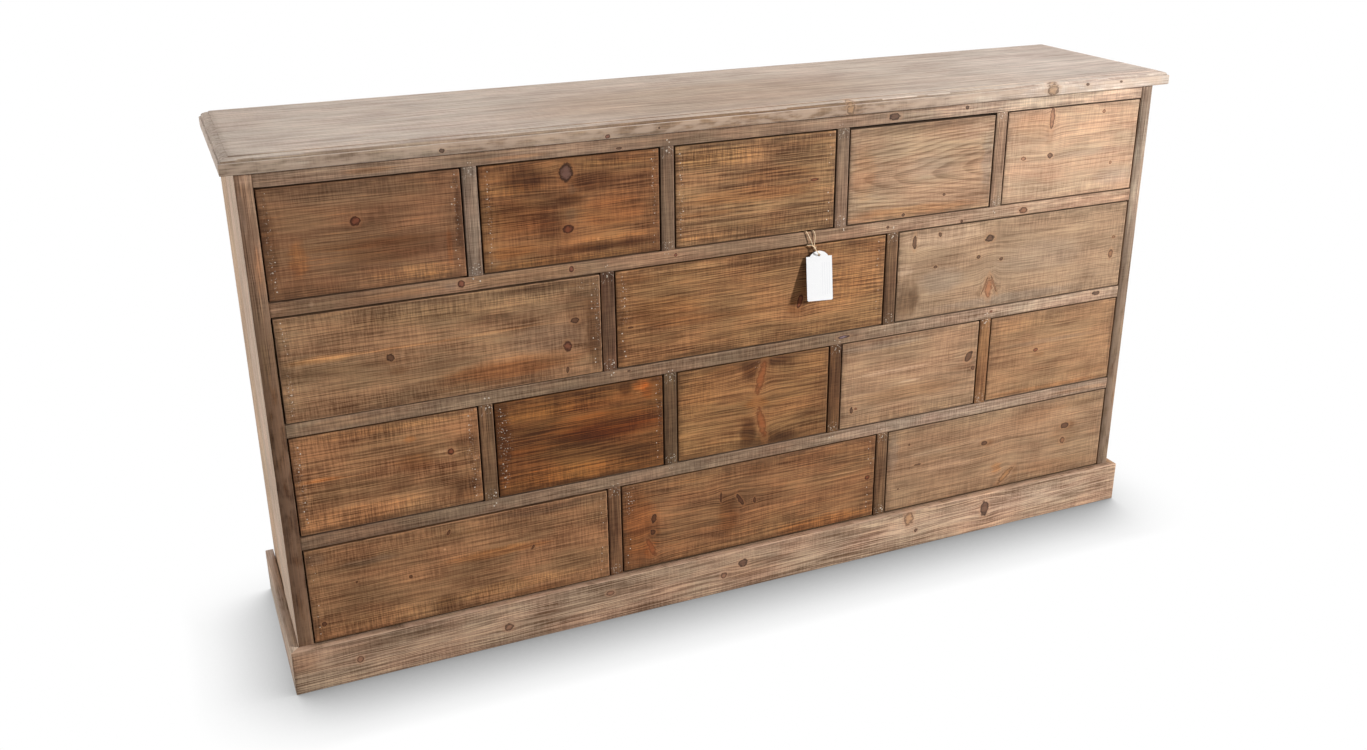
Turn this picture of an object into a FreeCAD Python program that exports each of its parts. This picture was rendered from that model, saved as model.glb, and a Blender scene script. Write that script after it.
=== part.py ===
"""Seed storage cabinet: a long, low pine case with sixteen inset drawers.

Two rows of five narrow drawers alternate with two rows of three wide ones. The frame has +X to
the right, -Y to the front and +Z up, and its origin is on the floor, at the middle of the
footprint of the top board. All sizes are in millimetres.
"""
import FreeCAD, Part
import os
from math import cos, pi, sin, tan

V = FreeCAD.Vector

# ---- Driving dimensions ---------------------------------------------------------------------

# Case.
drawers_in_row = (5, 3, 5, 3)      # from the top row down
inner_width = 1675.0               # between the two side walls
case_depth = 360.0                 # front of the rails to the back of the back boards
side_thickness = 26.0
side_front_board = 190.0           # depth of the front one of a side's two boards
side_rear_setback = 1.5            # how far the rear board's outer face lies behind the front one's
opening_height = 183.0
rail_height = 24.0
rail_depth = 60.0
top_rail_height = 27.0
divider_width = 25.0
divider_depth = 45.0
runner_bearing = 20.0              # width of runner that shows beside a divider or a side wall
guide_height = 30.0
back_rail_depth = 40.0
back_board_thickness = 12.0
back_board_count = 11
back_board_gap = 0.8
back_board_foot = 20.0             # height of the back boards' lower ends above the floor

# Plinth.
plinth_height = 85.0
plinth_thickness = 15.0

# Top board, with a stepped ovolo along its front and both ends.
top_overhang = 20.0
nosing_height = 18.0               # square lower part of the edge
nosing_ledge = 3.5                 # flat step behind the square part
nosing_riser = 1.5                 # upright from the step to the ovolo
ovolo_width = 13.0
ovolo_height = 5.0
ovolo_quirk = 1.5                  # upright from the ovolo to the upper surface

# Drawers.
front_gap = 2.3                    # all round a drawer front
front_thickness = 20.0
front_setback = 0.5                # drawer front behind the rails when it is shut
front_stands_proud = {6: 2.5, 14: 2.0}   # drawers that don't go quite home
front_planed_off = {4: 2.0}        # drawer whose front was planed lower along its top edge
box_side_thickness = 12.0
box_back_thickness = 12.0
box_bottom_thickness = 8.0
box_headroom = 14.7                # above a drawer's sides
box_back_drop = 6.0                # back board lower than the sides
box_rear_gap = 4.0                 # behind a shut drawer
side_clearance = 1.0               # between a drawer's side and its guide
running_clearance = 0.3            # between a drawer's side and its runner
stop_size = (40.0, 20.0, 5.5)      # drawer stop behind the front: along X, Y and Z
stop_clearance = 0.3               # behind the drawer front
stop_headroom = 2.8                # between a stop and the drawer bottom that passes over it

# Swing tag, hung by a loop of twine in front of the middle drawer of the second row.
tag_width = 50.0
tag_height = 82.0                  # lower edge to shoulders
tag_shoulder = 7.0                 # flat shoulder on each side of the arched head
tag_arch_height = 10.0
tag_thickness = 0.8
tag_corner_radius = 3.0
tag_hole_radius = 2.6
tag_hole_rise = 2.5                # hole's centre above the shoulders
tag_hole_place = (124.5, 5.0, 46.2)      # X, distance in front of the rails, drop below the twine's gap
tag_turn = -6.8                    # degrees about Z
tag_lean = -11.0                   # degrees about X: the lower edge stands off the drawer
tag_roll = 1.0                     # degrees in its own plane
twine_diameter = 1.6
twine_in_gap = 7.5                # how far the two ends reach under the drawer front above

# ---- Derived places -------------------------------------------------------------------------

half_width = inner_width / 2
outer_half = half_width + side_thickness
front_y = -(case_depth - top_overhang) / 2
back_y = front_y + case_depth
row_pitch = opening_height + rail_height
under_top = plinth_height + len(drawers_in_row) * row_pitch - rail_height + top_rail_height
top_thickness = nosing_height + nosing_riser + ovolo_height + ovolo_quirk
box_side_height = opening_height - running_clearance - box_headroom
box_floor_height = stop_size[2] + stop_headroom      # underside of a drawer's bottom above its runners
back_inner_y = back_y - back_board_thickness
back_rail_y = back_inner_y - back_rail_depth
drawer_numbers = range(1, sum(drawers_in_row) + 1)


def row_floor(row):
    """Height of a row's opening above the floor; row 0 is the top one."""
    return plinth_height + (len(drawers_in_row) - 1 - row) * row_pitch


def opening_width(count):
    return (inner_width - (count - 1) * divider_width) / count


def opening_starts(count):
    """Left edge of each opening in a row of count drawers."""
    pitch = opening_width(count) + divider_width
    return [-half_width + i * pitch for i in range(count)]


def drawer_place(number):
    """Row, left edge, right edge and floor of a drawer's opening."""
    row = 0
    index = number - 1
    while index >= drawers_in_row[row]:
        index -= drawers_in_row[row]
        row += 1
    count = drawers_in_row[row]
    left = opening_starts(count)[index]
    return row, left, left + opening_width(count), row_floor(row)


# ---- Helpers --------------------------------------------------------------------------------

def block(x0, x1, y0, y1, z0, z1):
    """A board with its faces at the six given places."""
    return Part.makeBox(x1 - x0, y1 - y0, z1 - z0, V(x0, y0, z0))


def prism(points, direction):
    """A closed outline of points, swept along a vector."""
    return Part.Face(Part.makePolygon(points + points[:1])).extrude(direction)


def save(node, pieces):
    shape = pieces[0] if len(pieces) == 1 else Part.makeCompound(pieces)
    shape.exportStep("parts/" + node + ".step")


# ---- Case -----------------------------------------------------------------------------------

def make_top():
    """The top board: its ovolo is what two edge cutters leave, mitred where they cross."""
    x1 = outer_half + top_overhang
    y0 = front_y - top_overhang
    z1 = under_top + top_thickness
    board = block(-x1, x1, y0, back_y, under_top, z1)
    reach = 2 * x1 + 2 * top_overhang
    cutters = ((V(-x1 - top_overhang, y0, under_top), V(0, 1, 0), V(reach, 0, 0)),
               (V(-x1, y0 - top_overhang, under_top), V(1, 0, 0), V(0, reach, 0)),
               (V(x1, y0 - top_overhang, under_top), V(-1, 0, 0), V(0, reach, 0)))
    for corner, inward, run in cutters:
        board = board.cut(waste_profile(corner, inward).extrude(run))
    return board


def waste_profile(corner, inward):
    """What is planed off an edge of the top: corner is on its lower arris, inward points to the board."""
    def at(inset, height):
        return corner + inward * inset + V(0, 0, height)

    step = nosing_height + nosing_riser
    top = step + ovolo_height
    middle = at(nosing_ledge + ovolo_width * (1 - cos(pi / 4)), step + ovolo_height * sin(pi / 4))
    spare = top_thickness                 # the cutter stands clear of the board by its thickness
    inset = nosing_ledge + ovolo_width
    outline = [at(-spare, nosing_height), at(nosing_ledge, nosing_height), at(nosing_ledge, step)]
    after = [at(inset, top), at(inset, top_thickness + spare), at(-spare, top_thickness + spare), outline[0]]
    edges = [Part.LineSegment(a, b).toShape() for a, b in zip(outline, outline[1:])]
    edges.append(Part.Arc(outline[-1], middle, after[0]).toShape())
    edges += [Part.LineSegment(a, b).toShape() for a, b in zip(after, after[1:])]
    return Part.Face(Part.Wire(edges))


def make_side_boards(hand):
    """Front and rear board of one side wall; hand is -1 on the left and 1 on the right."""
    joint_y = front_y + side_front_board
    boards = []
    for y0, y1, setback in ((front_y, joint_y, 0.0), (joint_y, back_y, side_rear_setback)):
        inner = hand * half_width
        outer = hand * (outer_half - setback)
        boards.append(block(min(inner, outer), max(inner, outer), y0, y1, 0.0, under_top))
    return boards


def make_dividers(row):
    """Posts between the openings of a row."""
    z0 = row_floor(row)
    return [block(x - divider_width, x, front_y, front_y + divider_depth, z0, z0 + opening_height)
            for x in opening_starts(drawers_in_row[row])[1:]]


def carrier_spans(count):
    """X range of each runner in a row of count drawers, from the left wall to the right one."""
    edges = [(x - divider_width, x) for x in opening_starts(count)[1:]]
    edges = [(-half_width, -half_width)] + edges + [(half_width, half_width)]
    return [(max(a - runner_bearing, -half_width), min(b + runner_bearing, half_width)) for a, b in edges]


def make_carriers(count, z0, z1):
    """Runners or kickers: bars from the front rail to the back rail."""
    return [block(a, b, front_y + rail_depth, back_rail_y, z0, z1) for a, b in carrier_spans(count)]


def make_guides():
    """Strips behind the dividers, on the runners, that keep the drawers apart."""
    pieces = []
    for row, count in enumerate(drawers_in_row):
        z0 = row_floor(row)
        for x in opening_starts(count)[1:]:
            pieces.append(block(x - divider_width, x, front_y + divider_depth, back_inner_y,
                                z0, z0 + guide_height))
    return pieces


def make_back_boards():
    pitch = (inner_width + back_board_gap) / back_board_count
    starts = [-half_width + i * pitch for i in range(back_board_count)]
    return [block(x, x + pitch - back_board_gap, back_inner_y, back_y, back_board_foot, under_top)
            for x in starts]


def make_plinth_board(side):
    """One board of the plinth; side is front, left or right. The front corners are mitred."""
    t = plinth_thickness
    if side == "front":
        outline = [(-outer_half, front_y), (-outer_half - t, front_y - t), (outer_half + t, front_y - t),
                   (outer_half, front_y)]
    else:
        hand = -1 if side == "left" else 1
        outline = [(hand * outer_half, front_y), (hand * (outer_half + t), front_y - t),
                   (hand * (outer_half + t), back_y), (hand * outer_half, back_y)]
    return prism([V(x, y, 0) for x, y in outline], V(0, 0, plinth_height))


def make_stops():
    """One block on the front rail behind each drawer front."""
    length, depth, height = stop_size
    y0 = front_y + front_setback + front_thickness + stop_clearance
    pieces = []
    for number in drawer_numbers:
        row, left, right, z0 = drawer_place(number)
        x = (left + right) / 2
        pieces.append(block(x - length / 2, x + length / 2, y0, y0 + depth, z0, z0 + height))
    return pieces


# ---- Drawers --------------------------------------------------------------------------------

def front_face_y(number):
    """Where a shut drawer's front face lies."""
    if number in front_stands_proud:
        return front_y - front_stands_proud[number]
    return front_y + front_setback


def make_drawer_front(number):
    row, left, right, z0 = drawer_place(number)
    y0 = front_face_y(number)
    z1 = z0 + opening_height - front_gap - front_planed_off.get(number, 0.0)
    return block(left + front_gap, right - front_gap, y0, y0 + front_thickness, z0 + front_gap, z1)


def make_drawer_box(number):
    """Two sides, a back and a bottom, butted and nailed."""
    row, left, right, z0 = drawer_place(number)
    x0 = left + side_clearance
    x1 = right - side_clearance
    y0 = front_face_y(number) + front_thickness
    y1 = back_inner_y - box_rear_gap + front_face_y(number) - (front_y + front_setback)
    floor_z = z0 + box_floor_height
    z0 = z0 + running_clearance
    z1 = z0 + box_side_height
    t = box_side_thickness
    return [block(x0, x0 + t, y0, y1, z0, z1),
            block(x1 - t, x1, y0, y1, z0, z1),
            block(x0 + t, x1 - t, y0, y1, floor_z, floor_z + box_bottom_thickness),
            block(x0 + t, x1 - t, y1 - box_back_thickness, y1,
                  floor_z + box_bottom_thickness, z1 - box_back_drop)]


# ---- Tag and twine --------------------------------------------------------------------------

def make_tag():
    """A blank card with an arched head, modelled about its hole in the XZ plane, then hung."""
    w = tag_width / 2
    top = -tag_hole_rise
    foot = top - tag_height
    r = tag_corner_radius
    d = r * (1 - cos(pi / 4))
    neck = w - tag_shoulder

    def at(x, z):
        return V(x, -tag_thickness / 2, z)

    def line(a, b):
        return Part.LineSegment(at(*a), at(*b)).toShape()

    def arc(a, b, c):
        return Part.Arc(at(*a), at(*b), at(*c)).toShape()

    edges = [line((-w + r, foot), (w - r, foot)), arc((w - r, foot), (w - d, foot + d), (w, foot + r)),
             line((w, foot + r), (w, top)), line((w, top), (neck, top)),
             arc((neck, top), (0, top + tag_arch_height), (-neck, top)), line((-neck, top), (-w, top)),
             line((-w, top), (-w, foot + r)), arc((-w, foot + r), (-w + d, foot + d), (-w + r, foot))]
    card = Part.Face(Part.Wire(edges)).extrude(V(0, tag_thickness, 0))
    hole = Part.makeCylinder(tag_hole_radius, 2 * tag_thickness, V(0, -tag_thickness, 0), V(0, 1, 0))
    card = card.cut(hole)
    x, stand_off, drop = tag_hole_place
    turn = FreeCAD.Rotation(V(0, 0, 1), tag_turn)
    lean = FreeCAD.Rotation(V(1, 0, 0), tag_lean)
    roll = FreeCAD.Rotation(V(0, 1, 0), tag_roll)
    card.Placement = FreeCAD.Placement(V(x, front_y - stand_off, twine_gap_z() - drop),
                                         turn.multiply(lean).multiply(roll))
    return card


def twine_gap_z():
    """Height of the middle of the gap that holds the twine, under the top row's drawer fronts."""
    return row_floor(0) + front_gap / 2


def make_twine():
    """The loop of twine as a tube: straight runs joined by arcs, each as wide as its runs allow."""
    points = twine_route()
    edges = []
    start = points[0]
    length = 0.0
    radii = []
    for before, point, after in zip(points, points[1:], points[2:]):
        a = before - point
        b = after - point
        turn = pi - a.getAngle(b)
        set_back = 0.45 * min(a.Length, b.Length)
        radius = set_back / tan(turn / 2)
        radii.append(radius)
        a.normalize()
        b.normalize()
        p = point + a * set_back
        q = point + b * set_back
        inward = (a + b).normalize()
        middle = point + inward * (radius / cos(turn / 2) - radius)
        edges.append(Part.LineSegment(start, p).toShape())
        edges.append(Part.Arc(p, middle, q).toShape())
        length += (p - start).Length + radius * turn
        start = q
    edges.append(Part.LineSegment(start, points[-1]).toShape())
    length += (points[-1] - start).Length
    path = Part.Wire(edges)
    circle = Part.makeCircle(twine_diameter / 2, points[0], points[1] - points[0])
    tube = path.makePipeShell([Part.Wire(circle)], True, True)
    section = pi * twine_diameter ** 2 / 4
    share = tube.Volume / (section * length)
    print("twine: length %.1f mm, volume / (section x length) %.4f" % (length, share))
    print("twine: arc radii " + " ".join("%.1f" % r for r in radii))
    return tube


def twine_route():
    """The twine's points: down the left strand, through the tag's hole from the front, and up again.

    Each point is X, the distance in front of the rails, and the drop below the gap under the drawer
    front above, in which both ends are caught.
    """
    drops = [(98.0, -twine_in_gap, 0.0), (98.2, -3.0, 0.0), (98.9, 1.9, -0.4), (101.2, 2.5, 4.5),
             (104.8, 3.2, 11.5), (108.6, 3.7, 19.0), (110.8, 4.4, 26.0), (114.6, 5.6, 32.0),
             (119.8, 7.9, 39.2), (124.5, 8.2, 46.4), (124.9, 2.9, 46.7), (121.8, 1.9, 40.6),
             (117.2, 2.4, 33.0), (115.2, 2.6, 24.0), (116.6, 2.7, 14.0), (116.0, 2.5, 5.6),
             (113.2, 1.9, -0.4), (112.5, -3.0, 0.0), (112.7, -twine_in_gap, 0.0)]
    return [V(x, front_y - stand_off, twine_gap_z() - drop) for x, stand_off, drop in drops]


# ---- The cabinet ----------------------------------------------------------------------------

def main():
    os.makedirs("parts", exist_ok=True)
    save("top_board", [make_top()])
    for name, hand in (("left", -1), ("right", 1)):
        front_board, rear_board = make_side_boards(hand)
        save("side_%s_front_board" % name, [front_board])
        save("side_%s_rear_board" % name, [rear_board])
    rail_floors = {"top": under_top - top_rail_height}
    rail_floors.update({str(row + 1): row_floor(row) - rail_height for row in range(len(drawers_in_row))})
    back_rails = []
    for name, z0 in rail_floors.items():
        z1 = z0 + (top_rail_height if name == "top" else rail_height)
        save("front_rail_" + name, [block(-half_width, half_width, front_y, front_y + rail_depth, z0, z1)])
        back_rails.append(block(-half_width, half_width, back_rail_y, back_inner_y, z0, z1))
    save("back_rails", back_rails)
    for row, count in enumerate(drawers_in_row):
        z1 = row_floor(row)
        save("dividers_row_%d" % (row + 1), make_dividers(row))
        save("runners_row_%d" % (row + 1), make_carriers(count, z1 - rail_height, z1))
    save("kickers", make_carriers(drawers_in_row[0], under_top - top_rail_height, under_top))
    save("drawer_guides", make_guides())
    save("drawer_stops", make_stops())
    save("back_boards", make_back_boards())
    for side in ("front", "left", "right"):
        save("plinth_" + side, [make_plinth_board(side)])
    for number in drawer_numbers:
        save("drawer_front_%02d" % number, [make_drawer_front(number)])
        save("drawer_box_%02d" % number, make_drawer_box(number))
    save("swing_tag", [make_tag()])
    save("tag_twine", [make_twine()])


main()
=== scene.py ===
"""Seed storage cabinet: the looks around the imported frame.

Waxed old pine boards with worn arrises, knots, saw marks and grime, nail heads along the ends of the
drawer fronts, and a blank swing tag on a loop of twine. Places and lengths are in metres, as in the
frame, unless a name or comment says mm. A board's own coordinates, which its grain, knots and stains
follow, are in mm: u along the grain, v across the face and w through the thickness, towards the face.
"""
from dataclasses import dataclass, field
from math import cos, pi, radians, sin

import bmesh
import bpy
from mathutils import Matrix, Vector, noise


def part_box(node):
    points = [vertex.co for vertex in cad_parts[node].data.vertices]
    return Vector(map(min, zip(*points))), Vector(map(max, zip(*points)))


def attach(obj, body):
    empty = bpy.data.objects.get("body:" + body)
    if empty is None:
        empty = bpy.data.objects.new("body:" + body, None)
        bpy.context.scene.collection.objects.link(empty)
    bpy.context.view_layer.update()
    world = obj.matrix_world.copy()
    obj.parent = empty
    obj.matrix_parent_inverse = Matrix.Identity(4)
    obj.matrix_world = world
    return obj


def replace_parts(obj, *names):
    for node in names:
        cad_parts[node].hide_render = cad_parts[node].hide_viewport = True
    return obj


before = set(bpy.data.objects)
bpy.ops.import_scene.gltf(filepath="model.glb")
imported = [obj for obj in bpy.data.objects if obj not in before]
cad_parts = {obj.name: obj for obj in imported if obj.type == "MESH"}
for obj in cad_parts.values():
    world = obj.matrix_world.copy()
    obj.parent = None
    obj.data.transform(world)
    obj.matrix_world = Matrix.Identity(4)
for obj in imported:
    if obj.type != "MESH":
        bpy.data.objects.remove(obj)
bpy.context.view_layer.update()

MM = 0.001
X, Y, Z = Vector((1, 0, 0)), Vector((0, 1, 0)), Vector((0, 0, 1))


# ---- Colours -----------------------------------

def srgb(red, green, blue):
    """A colour written on the scale of 0 to 255, as a shader takes it."""
    def linear(level):
        share = level / 255
        return share / 12.92 if share <= 0.04045 else ((share + 0.055) / 1.055) ** 2.4
    return linear(red), linear(green), linear(blue), 1.0


def tinted(colour, *shares):
    """A colour times one share, or times one for each of red, green and blue."""
    shares = shares if len(shares) == 3 else shares * 3
    return tuple(share * level for share, level in zip(shares, colour)) + (1.0,)


TINTS = {  # what a stain, a rub or painted light makes of the wood's own colour
    "soot": (0.43, 0.35, 0.28),
    "umber": (0.68, 0.55, 0.43),
    "rust": (1.1, 0.9, 0.72),
    "honey": (1.5, 1.42, 1.2),
    "grey": (0.86, 0.93, 1.04),
    "chalk": (1.5, 1.62, 1.78),
    # painted light: paler wood at the right and upper ends of boards, where more lamp light falls
    "painted_light": (1.5, 1.62, 1.8),
    "fresh": (1.95, 1.72, 1.4),
    "flamed": (2.5, 1.8, 1.2),
}
FLECKED = {"honey"}  # tints that catch most on the crossings of saw marks and fibres
SMOOTH = {"painted_light", "fresh"}  # tints that the grain doesn't break up
SPECKS = srgb(216, 204, 188)  # crumbs of old filler and whitewash, the tint named "specks"
# What each kind of knot makes of the wood's tone, in its core and at its rim, and how solid it is.
KNOT_CORES = {
    "dark": ((0.31, 0.22, 0.2), (0.13, 0.1, 0.1), 0.84),
    "grey": ((0.68, 0.74, 1.3), (0.2, 0.16, 0.16), 0.92),
    "red": ((0.74, 0.42, 0.38), (0.22, 0.13, 0.12), 0.92),
    "gold": ((1.2, 0.95, 0.64), (0.46, 0.38, 0.32), 0.72),
    "flame": ((1.12, 0.62, 0.42), (0.6, 0.36, 0.27), 0.64),
    "brown": ((0.8, 0.6, 0.5), (0.34, 0.26, 0.24), 0.92),
}
FLAT = 1e6  # a size through the board so large that depth doesn't count


# ---- Node trees --------------------------------

def operator(operation, turned=False):
    """An operator of Value."""
    def apply(value, other):
        return value.tree.math(operation, *((other, value) if turned else (value, other)))
    return apply


class Value:
    """A node's output to reckon with, a number or a vector: each step adds a node and gives its output."""

    def __init__(self, tree, socket):
        self.tree = tree
        self.socket = socket
        self.wide = socket.type != "VALUE"

    __add__ = __radd__ = operator("ADD")
    __mul__ = __rmul__ = operator("MULTIPLY")
    __sub__ = operator("SUBTRACT")
    __rsub__ = operator("SUBTRACT", turned=True)
    __truediv__ = operator("DIVIDE")

    def fade(self, start, end):
        """0 where it is at start, 1 where it is at end, and a smooth step between them."""
        return self.tree.value("MapRange", 0, {"Value": self, "From Min": start, "From Max": end},
                               interpolation_type="SMOOTHSTEP")

    def length(self):
        return self.tree.value("VectorMath", "Value", {0: self}, operation="LENGTH")

    def parts(self):
        return [Value(self.tree, part) for part in self.tree.add("SeparateXYZ", {0: self}).outputs]


class Tree:
    """Short-hand for the node tree of a material or world, which starts empty."""

    def __init__(self, owner):
        owner.use_nodes = True
        self.nodes = owner.node_tree.nodes
        self.links = owner.node_tree.links
        self.nodes.clear()

    def add(self, kind, inputs=(), **settings):
        node = self.nodes.new("ShaderNode" + kind)
        for name, value in settings.items():
            setattr(node, name, value)
        for name, value in dict(inputs).items():
            value = getattr(value, "socket", value)
            if isinstance(value, bpy.types.NodeSocket):
                self.links.new(value, node.inputs[name])
            else:
                node.inputs[name].default_value = value
        return node

    def value(self, kind, output=0, inputs=(), **settings):
        return Value(self, self.add(kind, inputs, **settings).outputs[output])

    def math(self, operation, *values):
        """Math on numbers, or VectorMath where one of them is a vector."""
        wide = any(isinstance(value, tuple) or getattr(value, "wide", False) for value in values)
        return self.value("VectorMath" if wide else "Math", 0, enumerate(values), operation=operation)

    def mix(self, share, first, second, blend="MIX"):
        return self.value("Mix", 2, {0: share, 6: first, 7: second}, data_type="RGBA", blend_type=blend)

    def noise(self, point, detail, roughness=0.5, output="Fac"):
        settings = {"Vector": point, "Scale": 1.0, "Detail": detail, "Roughness": roughness}
        return self.value("TexNoise", output, settings)

    def join(self, *values):
        return self.value("CombineXYZ", 0, enumerate(values))

    def end(self, shader, output="OutputMaterial"):
        self.links.new(shader.outputs[0], self.add(output).inputs[0])

    def surface(self, colour, roughness, specular=0.5, height=None, bump=(0.0, 0.0)):
        """Ends in a plain surface. bump is the strength and the distance by which height lifts it."""
        inputs = {"Base Color": colour, "Roughness": roughness, "Specular IOR Level": specular}
        if height is not None:
            settings = {"Strength": bump[0], "Distance": bump[1], "Height": height}
            inputs["Normal"] = self.add("Bump", settings).outputs[0]
        self.end(self.add("BsdfPrincipled", inputs))


# ---- Pine --------------------------------------

@dataclass
class Look:
    """How one board's pine looks. Its knots and stains are lists of places under the name of a core or
    a tint, and the stains also hold painted light: paler wood where more lamp light falls. Each place is
    u, v and the two half sizes, in mm, and then the turn of a knot in degrees, if it is turned, or the
    strength of a stain."""
    tone: tuple  # the middle colour, on the scale of 0 to 255
    contrast: float = 0.6  # how much each of these lightens and darkens it: its streaks,
    blotch: float = 0.5  # its clouds,
    fibre: float = 0.7  # its fibres
    saw: float = 0.35  # and its saw marks
    hues: float = 0.7  # how far it turns from orange to grey
    rings: float = 0.2  # how dark the lines of its growth rings are
    pith: tuple = (0.015, 60.0, -45.0)  # how fast the rings widen along u, and their middle's v and w
    spacing: float = 5.5  # from ring to ring, in mm
    grime: float = 0.5  # along its edges
    worn: float = 0.35  # how pale its arrises are rubbed
    gap: float = 0.0  # how black its sides are: painted shade in the gaps between boards
    edgewise: bool = False  # for a board's edge, with w in the place of v
    knots: dict = field(default_factory=dict)
    stains_and_light: dict = field(default_factory=dict)


def knot_reach(tree, point, centre, size, turn=0.0):
    """How far out of a knot a point lies, 1 on its rim, and how far the grain steps aside there, in mm."""
    turned = tree.value("VectorRotate", 0, {"Vector": point, "Center": centre, "Angle": radians(turn)},
                        rotation_type="Z_AXIS")
    away = point - centre
    wide = (away / size * (0.4, 0.9, 1.0)).length()
    return ((turned - centre) / size).length(), away.parts()[1] * -0.55 / (wide * wide + 0.8)


def pine(name, look):
    """The material of a board with that look."""
    material = bpy.data.materials.new(name)
    tree = Tree(material)
    tone = srgb(*look.tone)
    straight = tree.value("Attribute", "Vector", attribute_name="grain")
    if look.edgewise:
        u, v, w = straight.parts()
        straight = tree.join(u, w, v)
    edge = tree.value("Attribute", "Fac", attribute_name="edge")
    offset = tree.value("Attribute", "Fac", attribute_name="seed") * (1370.0, 730.0, 410.0)
    uneven = (straight + offset) * (0.03, 0.09, 0.09)
    rough = tree.noise(uneven, 3.0)
    wander = (tree.noise(uneven, 3.0, output="Color") - (0.5, 0.5, 0.5)) * (26.0, 8.0, 0.0)
    wandered = straight + wander
    slight = straight + wander * (0.12, 0.36, 0.0)

    # Knots first: they bend the grain that everything else follows.
    point = straight
    reaches = []
    for core, places in look.knots.items():
        for u, v, ru, rv, *turn in places:
            reach, pull = knot_reach(tree, slight, (u, v, 0.0), (ru, rv, FLAT), *turn)
            reaches.append((reach, core))
            point += tree.join(0.0, pull, 0.0)

    # The wood itself: streaks and fibres along the grain, the marks that the mill's saw left, clouds,
    # warmer parts and the dark late wood of the growth rings.
    moved, kept = point + offset, straight + offset
    streak = tree.noise(moved * (0.0075, 0.5, 0.5), 3.0, 0.72)
    fibre = tree.noise(moved * (0.016, 0.8, 0.8), 2.0, 0.8)
    saw = tree.noise(kept * (0.34, 0.024, 0.024), 2.0, 0.7)
    cloud = tree.noise(kept * (0.009, 0.019, 0.019), 2.0, 0.45)
    warm = tree.noise(moved * (0.0065, 0.021, 0.021), 3.0, 0.6)
    wave = tree.noise(moved * (0.003, 0.016, 0.016), 3.0, 0.45)
    u, v, w = point.parts()
    widening, pith_v, pith_w = look.pith
    radius = tree.join(v - pith_v, w - pith_w, 0.0).length()
    phase = tree.math("FRACT", (wave * 15.0 + u * widening + radius) / look.spacing)
    late = phase.fade(0.35, 0.86) * phase.fade(1.0, 0.9)

    # Ground colour: from dark through middle to light wood.
    lined = streak.fade(0.38, 0.62) * 0.46 + streak * 0.44
    sawn = tree.math("MAXIMUM", edge.fade(42.0, 10.0), warm.fade(0.45, 0.6) * 0.4 + 0.4)
    light = (cloud * look.blotch + lined * look.contrast + fibre * look.fibre
             + (saw.fade(0.38, 0.62) - 0.5) * sawn * (0.5 * look.saw)
             + (0.5 - 0.5 * look.blotch - 0.45 * look.contrast - 0.5 * look.fibre))
    ramp = tree.add("ValToRGB", {"Fac": light})
    stops = ramp.color_ramp.elements
    stops[0].position, stops[0].color = 0.12, tinted(tone, 0.3, 0.23, 0.17)
    stops[1].position, stops[1].color = 0.88, tinted(tone, 1.76, 1.8, 1.72)
    stops.new(0.5).color = tone
    line = tree.math("MINIMUM", late * streak.fade(0.75, 0.35) * (1.5 * look.rings), 1.0)
    colour = tree.mix(line, ramp.outputs[0], tinted(tone, 0.4, 0.33, 0.28))
    hue = tree.mix(warm.fade(0.34, 0.66), (0.97, 1.03, 0.96, 1.0), (1.08, 0.96, 0.86, 1.0))
    colour = tree.mix(look.hues, colour, hue, "MULTIPLY")

    # Stains, places rubbed back to fresh wood, and painted light where more lamp light falls, through which
    # the grain still shows.
    fleck = (saw + fibre).fade(0.88, 1.16)
    ragged = streak * 1.4 + fibre * 0.8 - 1.1
    crumbs = tree.noise(straight * (0.33, 0.3, 0.3), 1.0).fade(0.63, 0.7)
    for tint, places in look.stains_and_light.items():
        for u, v, ru, rv, share in places:
            place = wandered if min(ru, rv) > 6.0 else slight
            amount = ((place - (u, v, 0.0)) / (ru, rv, FLAT)).length().fade(1.35, 0.25)
            if tint == "specks":
                colour = tree.mix(amount * crumbs * share, colour, SPECKS)
                continue
            if tint not in SMOOTH:
                amount = (amount + ragged).fade(0.1, 0.95)
            if tint in FLECKED:
                amount *= fleck * 0.75 + 0.25
            colour = tree.mix(amount * share, colour, (*TINTS[tint], 1.0), "MULTIPLY")

    # Grime that has gathered along the edges, worn arrises, and painted shade on the sides in the gaps
    # between boards.
    patchy = rough.fade(0.35, 0.62)
    colour = tree.mix(edge.fade(20.0, 0.0) * patchy * look.grime, colour, tinted(tone, 0.34, 0.32, 0.31))
    colour = tree.mix(edge.fade(1.7, 0.3) * patchy * look.worn, colour, tinted(tone, 1.9))
    # painted shade: a board's sides, inside the gaps between parts, darkened nearly to black
    if look.gap:
        colour = tree.mix(edge.fade(0.3, 0.1) * look.gap, colour, tinted(tone, 0.12))

    # The knots themselves: a halo of paler wood, a mottled core and a thin dark rim, a little frayed.
    blot = tree.noise(straight * (0.15, 0.18, 0.18), 3.0, 0.6)
    for reach, core in reaches:
        inner, outer, solid = KNOT_CORES[core]
        frayed = reach + (blot - 0.5) * (2.8 - 2.0 * solid)
        colour = tree.mix(frayed.fade(2.0, 1.1) * 0.45, colour, tinted(tone, 1.3, 1.1, 0.92))
        mottled = tree.mix((blot + frayed).fade(0.7, 1.6), tinted(tone, *inner), tinted(tone, *outer))
        colour = tree.mix(frayed.fade(1.14, 0.88) * solid, colour, mottled)
        rim = frayed.fade(0.66, 0.9) * frayed.fade(1.2, 1.0)
        colour = tree.mix(rim * (0.76 * solid), colour, tinted(tinted(tone, *outer), 0.7))

    height = fibre * 0.5 + late * 0.25 + saw * (0.7 * look.saw)
    tree.surface(colour, rough * 0.25 + 0.58, 0.15, height, (0.35, 0.0006))
    return material


# ---- Boards ------------------------------------

def add_bands(mesh, rings, slot=0):
    """Faces between neighbouring rings of vertices."""
    for lower, upper in zip(rings, rings[1:]):
        for i, vert in enumerate(lower):
            j = (i + 1) % len(lower)
            mesh.faces.new((vert, lower[j], upper[j], upper[i])).material_index = slot


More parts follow.
